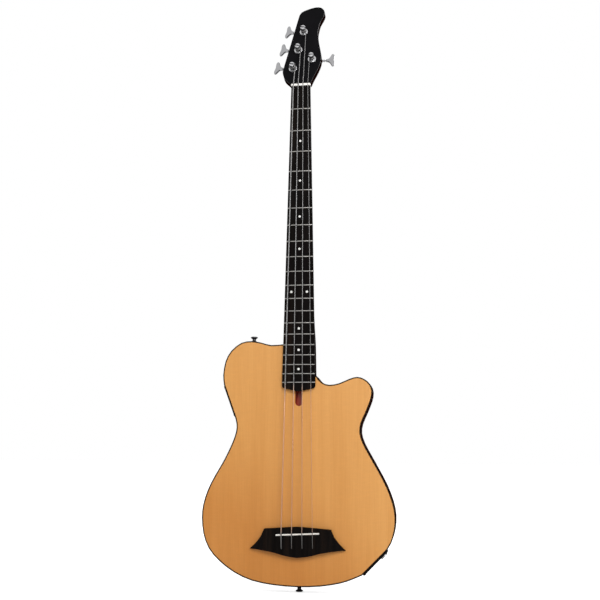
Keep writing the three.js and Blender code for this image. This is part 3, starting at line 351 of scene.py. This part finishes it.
def lacquer_finish():
    material = new_finish("black_lacquer", Specular_IOR_Level=0.03)
    peel = noise(material, place_pattern(material, (240, 240, 240)), 2)
    depth = noise(material, place_pattern(material, (22, 22, 22)), 3)
    join_shader(material, Base_Color=ramp(material, depth, [(0.3, (0.0032, 0.0030, 0.0036)),
                                                          (0.7, (0.0052, 0.0049, 0.0058))]),
                Roughness=spread(material, depth, 0.22, 0.32), Normal=bump(material, peel, 0.00004, 0.25))
    return material


black_lacquer = lacquer_finish()
veneer = finished("headstock_veneer", black_lacquer, easing=0.0003)


# Truss rod. A steel bar in its channel under the fretboard, with a hollow hexagon nut that a key
# reaches through the slot in the top.

def metal_finish(name, colour, gloss, scratches=(900, 900, 900), relief=0.000004, **constants):
    """Plated or bare metal: even colour, roughness that wanders a little, and hairline scratches."""
    material = new_finish(name, Metallic=1.0, **constants)
    wear = noise(material, place_pattern(material, (120, 120, 120)), 4, 0.6)
    lines = noise(material, place_pattern(material, scratches), 2, 0.6)
    duller = tuple(0.9 * part for part in colour)
    join_shader(material, Base_Color=ramp(material, wear, [(0.35, duller), (0.6, colour)]),
                Roughness=spread(material, wear, *gloss), Normal=bump(material, lines, relief, 0.3))
    return material


dark_steel = metal_finish("dark_steel", (0.055, 0.055, 0.06), (0.22, 0.38))
truss_rod = finished("truss_rod", dark_steel)
truss_rod_nut = finished("truss_rod_nut", dark_steel, body="truss_rod_nut", easing=0.0003)


# Fretboard. Oiled ebony with an arched face, glued to the neck and running out over the top to a
# shallow point. White dots are let into the face, and small ones into the bass edge.

board_radius = 0.305
board_face = -0.021
board_width_at_nut = 0.038
board_width_at_end = 0.063
board_length = 0.599
scale_length = 0.8636
dot_frets = (3, 5, 7, 9, 12, 15, 17, 19)
octave_fret = 12
octave_spread = 0.0150
octave_side_spread = 0.004
dot_radius = 0.0023
dot_depth = 0.0012
dot_proud = 0.00001
side_dot_radius = 0.0011
side_dot_depth = 0.0010
side_dot_proud = 0.00004
side_dot_drop = 0.0042


def ebony_finish(name, gloss):
    """Oiled ebony: near black, with a few brown streaks and short open pores."""
    material = new_finish(name, Specular_IOR_Level=0.012)
    streaks = noise(material, place_pattern(material, (230, 230, 7)), 5, 0.6)
    brown = noise(material, place_pattern(material, (45, 45, 2.2)), 3, 0.5)
    pore = noise(material, place_pattern(material, (1600, 1600, 60)), 2, 0.7)
    colour = ramp(material, streaks, [(0.3, (0.0032, 0.0026, 0.0025)), (0.7, (0.0078, 0.0062, 0.0056))])
    brown = ramp(material, brown, [(0.52, 0.0), (0.8, (0.012, 0.006, 0.003))])
    colour = mix_colours(material, colour, brown, blend="ADD")
    colour = mix_colours(material, colour, ramp(material, pore, [(0.3, 0.5), (0.42, 1.0)]))
    join_shader(material, Base_Color=colour, Roughness=spread(material, streaks, *gloss),
                Normal=bump(material, pore, 0.00004, 0.3))
    return material


board_ebony = ebony_finish("board_ebony", (0.42, 0.56))
fretboard = finished("fretboard", board_ebony, angle=25)


def fret_place(number):
    return -scale_length * (1 - 2 ** (-number / 12))


def board_half_width(z):
    return (board_width_at_nut + (board_width_at_end - board_width_at_nut) * -z / board_length) / 2


def dot_blank(radius, depth):
    """A turned disc with an eased face, lying along Y, its face at the origin."""
    bpy.ops.object.select_all(action="DESELECT")
    bpy.ops.mesh.primitive_cylinder_add(vertices=28, radius=radius, depth=depth,
                                        location=(0, depth / 2, 0), rotation=(radians(90), 0, 0))
    disc = bpy.context.active_object
    bpy.ops.object.transform_apply()
    edit_faces(disc, lambda face: face.normal.y < -0.9)
    bpy.ops.mesh.inset(thickness=radius * 0.08)
    bpy.ops.transform.translate(value=(0, -radius * 0.03, 0))
    bpy.ops.object.mode_set(mode="OBJECT")
    return disc


def copies_at(blank, matrices, name):
    """One object of the blank repeated at each place."""
    made = []
    for matrix in matrices:
        each = bpy.data.objects.new(name, blank.data.copy())
        each.data.transform(matrix)
        bpy.context.collection.objects.link(each)
        made.append(each)
    bpy.data.objects.remove(blank)
    bpy.ops.object.select_all(action="DESELECT")
    for each in made:
        each.select_set(True)
    bpy.context.view_layer.objects.active = made[0]
    if len(made) > 1:
        bpy.ops.object.join()
    whole = bpy.context.active_object
    whole.name = name
    return whole


def pearl_finish():
    material = new_finish("white_pearl", Coat_Weight=0.3, Coat_Roughness=0.2)
    swirl = noise(material, place_pattern(material, (300, 300, 120)), 4, 0.6)
    colour = ramp(material, swirl, [(0.3, (0.62, 0.62, 0.58)), (0.7, (0.86, 0.86, 0.83))])
    join_shader(material, Base_Color=colour, Roughness=spread(material, swirl, 0.25, 0.4))
    return material


white_pearl = pearl_finish()
dot_places = []
side_places = []
for number in dot_frets:
    middle = (fret_place(number) + fret_place(number - 1)) / 2
    octave = number == octave_fret
    for across in ((-octave_spread, octave_spread) if octave else (0.0,)):
        arch = board_radius - sqrt(board_radius ** 2 - across ** 2)
        lean = Matrix.Rotation(across / board_radius, 4, "Z")
        dot_places.append(Matrix.Translation((across, board_face + arch - dot_proud, middle)) @ lean)
    for along in ((-octave_side_spread, octave_side_spread) if octave else (0.0,)):
        edge = -board_half_width(middle + along) - side_dot_proud
        side_places.append(Matrix.Translation((edge, board_face + side_dot_drop, middle + along))
                           @ Matrix.Rotation(radians(-90), 4, "Z"))
position_dots = copies_at(dot_blank(dot_radius, dot_depth), dot_places, "position_dots")
side_dots = copies_at(dot_blank(side_dot_radius, side_dot_depth), side_places, "side_dots")
for piece in (position_dots, side_dots):
    smooth_faces(piece)
    paint(piece, white_pearl)
    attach(piece, "root")


# Frets. Twenty lengths of nickel silver wire with a rounded crown, pressed into the board's slots
# and polished along the strings.

nickel_silver = metal_finish("nickel_silver", (0.36, 0.35, 0.33), (0.16, 0.28), scratches=(200, 900, 4000))
for number in range(1, 21):
    fret = finished(f"fret_{number:02d}", nickel_silver, easing=0.0002)


# Nut and saddle. Both filed from bleached bone: the nut glued at the head of the board, the saddle
# loose in its slanted slot, bearing on the thin brass-faced pickup strip.

def bone_finish():
    material = new_finish("bleached_bone", Coat_Weight=0.2, Coat_Roughness=0.25)
    cloud = noise(material, place_pattern(material, (90, 90, 90)), 4, 0.6)
    pore = noise(material, place_pattern(material, (400, 2200, 2200)), 2)
    colour = ramp(material, cloud, [(0.3, (0.82, 0.79, 0.73)), (0.7, (0.90, 0.88, 0.84))])
    colour = mix_colours(material, colour, ramp(material, pore, [(0.28, 0.82), (0.38, 1.0)]))
    join_shader(material, Base_Color=colour, Roughness=spread(material, cloud, 0.28, 0.42),
                Normal=bump(material, pore, 0.00002, 0.2))
    return material


bleached_bone = bone_finish()
pickup_brass = metal_finish("pickup_brass", (0.55, 0.37, 0.13), (0.22, 0.36))
nut = finished("nut", bleached_bone, easing=0.0002)
saddle = finished("saddle", bleached_bone, easing=0.0003)
saddle_pickup = finished("saddle_pickup", pickup_brass)


# Bridge. One piece of ebony glued to the top, high in the middle and planed down to its swept,
# pointed ends, with a tunnel for each string up from its lower edge.

bridge_ebony = ebony_finish("bridge_ebony", (0.30, 0.42))
bridge = finished("bridge", bridge_ebony, easing=0.0003, angle=35)


# Tuning machines. Open chromed machines: a turned bushing and washer on the face, a slotted post
# through the wood to its worm wheel, and the key's worm carried in a stamped plate on the back.

head_frame = Matrix.Translation((0, -0.018, 0.005)) @ Matrix.Rotation(radians(-10), 4, "X")
string_names = ("e", "a", "d", "g")
post_places = {"e": (-0.017544, 0.037822), "a": (-0.007802, 0.081857), "d": (0.001941, 0.125893),
               "g": (0.0206, 0.0582)}
bass_lean = radians(12.475)
plate_back = 0.0173
wheel_back = 0.0230
screw_across = (-0.0077, 0.0097)
screw_along = 0.0062
plate_screw_size = (0.0024, 0.0011)
wheel_screw_size = (0.0030, 0.0014)


def machine_frame(name):
    across, along = post_places[name]
    angle = 0 if name == "g" else pi + bass_lean
    return head_frame @ Matrix.Translation((across, 0, along)) @ Matrix.Rotation(angle, 4, "Y")


def screw_blank(radius, height, slotted=False):
    """A domed screw head standing on the origin along +Y, with a slot or a cross cut in it."""
    bpy.ops.object.select_all(action="DESELECT")
    bpy.ops.mesh.primitive_cylinder_add(vertices=24, radius=radius, depth=height * 0.5,
                                        location=(0, height * 0.25, 0), rotation=(radians(-90), 0, 0))
    head = bpy.context.active_object
    bpy.ops.object.transform_apply()
    for share, rise in ((0.12, 0.22), (0.22, 0.18), (0.30, 0.10)):
        edit_faces(head, lambda face: face.normal.y > 0.9)
        bpy.ops.mesh.inset(thickness=radius * share)
        bpy.ops.transform.translate(value=(0, height * rise, 0))
        bpy.ops.object.mode_set(mode="OBJECT")
    reach = 2.4 if slotted else 1.1
    for turned in ((0,) if slotted else (0, 90)):
        bpy.ops.object.select_all(action="DESELECT")
        bpy.ops.mesh.primitive_cube_add(size=1, location=(0, height, 0), rotation=(0, radians(turned), 0),
                                        scale=(radius * reach, height * 0.9, radius * 0.26))
        cutter = bpy.context.active_object
        cut = head.modifiers.new("cut", "BOOLEAN")
        cut.object = cutter
        cut.operation = "DIFFERENCE"
        cut.solver = "MANIFOLD"
        apply_all_modifiers(head)
        bpy.data.objects.remove(cutter)
    return head


polished_chrome = metal_finish("polished_chrome", (0.41, 0.41, 0.42), (0.05, 0.12))
# Painted light: the bushings and posts get a brighter copy of the same chrome, standing in for the
# highlights they catch.
chrome_painted_brighter = metal_finish("chrome_painted_brighter", (0.60, 0.60, 0.61), (0.04, 0.10))
for name in string_names:
    for kind, body_name, easing in (("bushing", "root", 0.0003), ("plate", "root", 0.0002),
                                    ("post", f"tuner_post_{name}", 0.0002),
                                    ("key", f"tuner_key_{name}", 0.0002)):
        metal = chrome_painted_brighter if kind in ("bushing", "post") else polished_chrome
        machine_piece = finished(f"tuner_{kind}_{name}", metal, body=body_name, easing=easing)
    worm_side = 1 if name == "g" else -1
    wood_screws = copies_at(screw_blank(*plate_screw_size), [
        machine_frame(name) @ Matrix.Translation((across, plate_back, -worm_side * screw_along))
        for across in screw_across], f"plate_screws_{name}")
    wheel_screw = copies_at(screw_blank(*wheel_screw_size, slotted=True), [
        machine_frame(name) @ Matrix.Translation((0, wheel_back, 0))], f"wheel_screw_{name}")
    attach(wood_screws, "root")
    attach(wheel_screw, f"tuner_post_{name}")
    for piece in (wood_screws, wheel_screw):
        smooth_faces(piece, 50)
        paint(piece, polished_chrome)


# Strings. Round-wound steel, each held by its brass ball end in the bridge's lower edge, run over
# saddle and nut, wound twice round its post and led down through the post's slot.

string_radii = {"e": 0.00127, "a": 0.00102, "d": 0.00083, "g": 0.00057}
spread_at_nut = 0.029
spread_at_saddle = 0.057
nut_crest = (-0.0225, 0.0012)
saddle_crest = -0.0269
saddle_middle = (0.0008, -0.867)
saddle_slant = radians(2.9)
tunnel_mouth = (-0.024, -0.8885)
ball_place = (-0.0176, -0.9007)
ball_radius = 0.003
ball_length = 0.003
post_waist = 0.0041
least_turns = 2.0
turn_gap = 0.0005
lowest_turn = 0.0033
rise_to_slot = 0.0012
slot_heights = (0.0131, 0.0134, 0.0110)
steps_per_turn = 28
# Where the strings carry a painted reflection of the orange top.
reflection_span = (-0.90, -0.58)


def string_finish():
    """Wound steel: fine wraps with painted shade between them, grey along the board, and over the top a
    painted reflection of the orange wood.
    """
    material = new_finish("wound_steel", Metallic=1.0)
    wraps = add_node(material, "ShaderNodeTexWave", {
        "Vector": place_pattern(material, (0.05, 0.3, 1)), "Scale": 640.0, "Distortion": 0.4,
        "Detail": 1.0}, bands_direction="Z").outputs["Fac"]
    tarnish = noise(material, place_pattern(material, (80, 80, 14)), 3)
    place = add_node(material, "ShaderNodeSeparateXYZ", {"Vector": place_pattern(material, (1, 1, 1))})
    painted_reflection = add_node(material, "ShaderNodeMapRange", {
        "Value": place.outputs["Z"], "From Min": reflection_span[0],
        "From Max": reflection_span[1]}).outputs["Result"]
    painted_reflection = ramp(material, painted_reflection, [(0.10, 0.0), (0.16, 1.0), (0.86, 1.0), (0.96, 0.0)])
    colour = ramp(material, tarnish, [(0.3, (0.17, 0.167, 0.165)), (0.7, (0.24, 0.237, 0.235))])
    # Painted reflection: the strings take the orange of the top they pass over.
    colour = mix_colours(material, colour, (0.66, 0.37, 0.22, 1.0), painted_reflection, "MIX")
    # Painted shade: the grooves between the wraps are coloured darker.
    colour = mix_colours(material, colour, ramp(material, wraps, [(0.05, 0.6), (0.4, 1.0)]))
    join_shader(material, Base_Color=colour, Roughness=spread(material, tarnish, 0.26, 0.40),
                Normal=bump(material, wraps, 0.00008, 0.6))
    return material


def string_route(name):
    """The points of one string in metres, from its ball to its cut end in the post."""
    index = string_names.index(name)
    radius = string_radii[name]
    low = (index / 3 - 0.5) * spread_at_saddle
    high = (index / 3 - 0.5) * spread_at_nut
    saddle_z = saddle_middle[1] + (low - saddle_middle[0]) * tan(saddle_slant)
    points = [Vector((low, *ball_place)), Vector((low, tunnel_mouth[0] - radius, tunnel_mouth[1])),
              Vector((low, saddle_crest - radius, saddle_z)),
              Vector((high, nut_crest[0] - radius, nut_crest[1]))]
    on_head = head_frame.inverted() @ points[-1]
    across, along = post_places[name]
    side = -1 if name == "g" else 1
    reach = post_waist + radius
    run = Vector((on_head.x - across, on_head.z - along))
    start = atan2(run.y, run.x) + side * acos(reach / hypot(run.x, run.y))
    slot_angle = 0.0 if name == "g" else pi + bass_lean
    turns = least_turns
    # On round the post until the string stands before the post's slot.
    while sin(start + side * turns * 2 * pi + slot_angle) ** 2 > 0.003:
        turns += 1 / 96

    def round_post(distance, wound, height):
        angle = start + side * wound * 2 * pi
        return head_frame @ Vector((across + distance * cos(angle), -height, along + distance * sin(angle)))

    steps = int(turns * steps_per_turn)
    for step in range(steps + 1):
        wound = turns * step / steps
        height = (lowest_turn + radius + (2 * radius + turn_gap) * min(wound, least_turns)
                  + rise_to_slot * max(wound - least_turns, 0))
        points.append(round_post(reach, wound, height))
    mouth, bend, cut_end = slot_heights
    for share, height in ((0.62, mouth + radius), (0.2, bend + radius), (0.0, cut_end)):
        points.append(round_post(share * reach, turns, height))
    return points


wound_steel = string_finish()
ball_brass = metal_finish("ball_brass", (0.50, 0.35, 0.14), (0.25, 0.4))
for name in string_names:
    route = string_route(name)
    wire = bpy.data.curves.new(f"wire_{name}", "CURVE")
    wire.dimensions = "3D"
    wire.bevel_depth = string_radii[name]
    wire.bevel_resolution = 3
    wire.use_fill_caps = True
    line = wire.splines.new("POLY")
    line.points.add(len(route) - 1)
    for point, place in zip(line.points, route):
        point.co = (*place, 1.0)
    wound_string = bpy.data.objects.new(f"wound_string_{name}", wire)
    bpy.context.collection.objects.link(wound_string)
    pick_only(wound_string)
    bpy.ops.object.convert(target="MESH")
    bpy.ops.object.shade_smooth_by_angle(angle=radians(50))
    paint(wound_string, wound_steel)
    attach(wound_string, "root")
    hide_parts(f"string_{name}")
    bpy.ops.object.select_all(action="DESELECT")
    bpy.ops.mesh.primitive_cylinder_add(vertices=28, radius=ball_radius, depth=ball_length,
                                        location=route[0], rotation=(radians(90), 0, 0))
    ball_end = bpy.context.active_object
    ball_end.name = f"ball_end_{name}"
    bpy.ops.object.transform_apply()
    ball_end.modifiers.new("rounding", "BEVEL").width = 0.0006
    apply_all_modifiers(ball_end)
    smooth_faces(ball_end)
    paint(ball_end, ball_brass)
    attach(ball_end, "root")


# Control panel. The preamplifier's black moulding in the bass shoulder, held by four small screws,
# with flush volume and tone knobs, each with a white pointer line and a ring of dots to set it by.

panel_frame = (Matrix.Translation((-0.1331, -0.021, -0.62512))
               @ Matrix.Rotation(atan2(0.352109, -0.935959), 4, "Y"))
panel_face = 0.0026
panel_half = 0.0313
panel_half_height = 0.0175
panel_middle = 0.0325
panel_screw_inset = 0.0036
panel_screw_size = (0.0019, 0.0008)
knob_offset = 0.013
knob_radius = 0.0074
pointer_size = (0.0003, 0.0042, 0.0007)
dial_radius = 0.0098
dial_dot_radius = 0.00042
dial_dot_depth = 0.0002
dial_dot_proud = 0.00002


def plate_corners(place, face, middle, half_height, half_length):
    """Places in a plate's four corners. Its own X points outwards, and its Z runs along it."""
    return [place @ Matrix.Translation((face, middle + up * half_height, side * half_length))
            @ Matrix.Rotation(radians(-90), 4, "Z") for up in (-1, 1) for side in (-1, 1)]


def black_screws(name, size, places):
    """Small black screws with a cross, one at each place."""
    screws = copies_at(screw_blank(*size), places, name)
    smooth_faces(screws, 50)
    paint(screws, black_screw)
    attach(screws, "root")


black_screw = metal_finish("black_screw", (0.03, 0.03, 0.032), (0.3, 0.45))
black_plastic = plastic_finish("black_plastic", (0.0070, 0.0070, 0.0073), (0.42, 0.55), 2600, 0.00003,
                               Specular_IOR_Level=0.03)
preamp = finished("preamp", black_plastic, easing=0.0003)
black_screws("panel_screws", panel_screw_size, plate_corners(
    panel_frame, panel_face, panel_middle, panel_half_height - panel_screw_inset,
    panel_half - panel_screw_inset))

printed_white = plastic_finish("printed_white", (0.62, 0.62, 0.60), (0.45, 0.6), 1500, 0.00001)
ring_places = []
for side in (-1, 1):
    for step in range(11):
        angle = radians(-150 + 30 * step)
        ring_places.append(panel_frame @ Matrix.Translation((
            panel_face + dial_dot_proud, panel_middle - dial_radius * cos(angle),
            side * knob_offset + dial_radius * sin(angle))) @ Matrix.Rotation(radians(90), 4, "Z"))
dial_dots = copies_at(dot_blank(dial_dot_radius, dial_dot_depth), ring_places, "dial_dots")
paint(dial_dots, printed_white)
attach(dial_dots, "root")
for name, side in (("volume_knob", -1), ("tone_knob", 1)):
    knob = finished(name, black_plastic, body=name, easing=0.0002, angle=30)
    bpy.ops.object.select_all(action="DESELECT")
    bpy.ops.mesh.primitive_cube_add(size=1, location=(0, 0, 0), scale=pointer_size)
    pointer = bpy.context.active_object
    pointer.name = name.replace("knob", "pointer")
    bpy.ops.object.transform_apply()
    pointer.modifiers.new("rounding", "BEVEL").width = 0.0001
    apply_all_modifiers(pointer)
    pointer.data.transform(panel_frame @ Matrix.Translation((panel_face, panel_middle - knob_radius * 0.05,
                                                             side * knob_offset)))
    paint(pointer, printed_white)
    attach(pointer, name)


# Output plate. A black plate on the lower treble side with the chromed jack socket and the battery
# case, whose drawer slides out with the battery. Four small screws hold the plate.

output_frame = (Matrix.Translation((0.13875, -0.021, -0.914976))
                @ Matrix.Rotation(atan2(0.710623, 0.703573), 4, "Y"))
output_face = 0.0033
output_half = 0.0305
output_half_height = 0.016
output_middle = 0.032
output_screw_inset = 0.0034
output_screw_size = (0.0018, 0.0008)

output_plate = finished("output_plate", black_plastic, easing=0.0003)
battery_drawer = finished("battery_drawer", black_plastic, body="battery_drawer", easing=0.0004)
jack_socket = finished("jack_socket", polished_chrome, easing=0.0002)
black_screws("output_plate_screws", output_screw_size, plate_corners(
    output_frame, output_face, output_middle, output_half_height - output_screw_inset,
    output_half - output_screw_inset))


# Strap buttons. Turned steel with a black nickel finish, one on the shoulder and one at the tail,
# each held by a countersunk cross-head screw.

strap_buttons = (("strap_button_tail", (0, 0.011, -0.9715), -90),
                 ("strap_button_shoulder", (-0.092, 0.011, -0.5005), 90))
countersink_radius = 0.0036
countersink_depth = 0.0030
strap_screw_size = (0.0033, 0.0012)
strap_screw_sunk = 0.0014

strap_screw_places = []
for node, place, turned in strap_buttons:
    button = finished(node, dark_steel, easing=0.0002)
    bpy.ops.object.select_all(action="DESELECT")
    bpy.ops.mesh.primitive_cylinder_add(vertices=32, radius=countersink_radius, depth=countersink_depth,
                                        location=place)
    countersink = bpy.context.active_object
    cut = button.modifiers.new("cut", "BOOLEAN")
    cut.object = countersink
    cut.operation = "DIFFERENCE"
    apply_all_modifiers(button)
    bpy.data.objects.remove(countersink)
    out = Matrix.Translation(place) @ Matrix.Rotation(radians(turned), 4, "X")
    strap_screw_places.append(out @ Matrix.Translation((0, -strap_screw_sunk, 0)))
black_screws("strap_button_screws", strap_screw_size, strap_screw_places)


# The room. A white floor under the tail and a white backdrop without end, lit by large soft lamps,
# and the camera a little below the middle, to the treble side, looking up.

floor_level = -0.9717
floor_glow = 0.75
backdrop_light = 0.42
softboxes = (("front_softbox", (0.7, -1.8, 0.5), 1.2, 34.0),
             ("side_softbox", (2.4, -1.8, 0.9), 1.6, 10.0),
             ("back_softbox", (0.6, 2.8, 1.6), 2.0, 34.0))
lamps_aim = Vector((0, 0, -0.45))
camera_place = (0.2300, -1.5674, -0.7173)
camera_turn = radians(8.391)
camera_tilt = radians(90 + 10.235)
camera_roll = radians(0.44)

bpy.ops.object.select_all(action="DESELECT")
bpy.ops.mesh.primitive_plane_add(size=30, location=(0, 0, floor_level))
floor = bpy.context.active_object
floor.name = "floor"
white_floor = new_finish("white_floor", Roughness=0.8)
tone = noise(white_floor, place_pattern(white_floor, (3, 3, 3)), 2)
join_shader(white_floor, Base_Color=ramp(white_floor, tone, [(0.3, 0.80), (0.7, 0.82)]))
ray = add_node(white_floor, "ShaderNodeLightPath")
seen = add_node(white_floor, "ShaderNodeMath", {0: ray.outputs["Is Camera Ray"], 1: floor_glow},
                operation="MULTIPLY")
join_shader(white_floor, Emission_Strength=seen.outputs[0])
white_floor.node_tree.nodes["Principled BSDF"].inputs["Emission Color"].default_value = (1, 1, 1, 1)
paint(floor, white_floor)

world = bpy.data.worlds.new("studio")
world.use_nodes = True
bpy.context.scene.world = world
links = world.node_tree.links
background = world.node_tree.nodes["Background"]
background.inputs["Color"].default_value = (1, 1, 1, 1)
path = world.node_tree.nodes.new("ShaderNodeLightPath")
shown = path.outputs["Is Camera Ray"]
for kind in ("Is Glossy Ray", "Is Transmission Ray"):
    either = world.node_tree.nodes.new("ShaderNodeMath")
    either.operation = "MAXIMUM"
    links.new(shown, either.inputs[0])
    links.new(path.outputs[kind], either.inputs[1])
    shown = either.outputs[0]
strength = world.node_tree.nodes.new("ShaderNodeMapRange")
strength.inputs["To Min"].default_value = backdrop_light
strength.inputs["To Max"].default_value = 1.0
links.new(shown, strength.inputs["Value"])
links.new(strength.outputs["Result"], background.inputs["Strength"])

for name, place, size, power in softboxes:
    aim = (lamps_aim - Vector(place)).to_track_quat("-Z", "Y").to_euler()
    bpy.ops.object.light_add(type="AREA", location=place, rotation=aim)
    lamp = bpy.context.active_object
    lamp.name = name
    lamp.data.size = size
    lamp.data.energy = power

bpy.ops.object.camera_add()
camera = bpy.context.active_object
camera.data.lens = 50
camera.data.sensor_width = 36
camera.matrix_world = (Matrix.Translation(camera_place) @ Matrix.Rotation(camera_turn, 4, "Z")
                       @ Matrix.Rotation(camera_tilt, 4, "X") @ Matrix.Rotation(camera_roll, 4, "Z"))
bpy.context.scene.camera = camera
bpy.context.scene.view_settings.view_transform = "Standard"
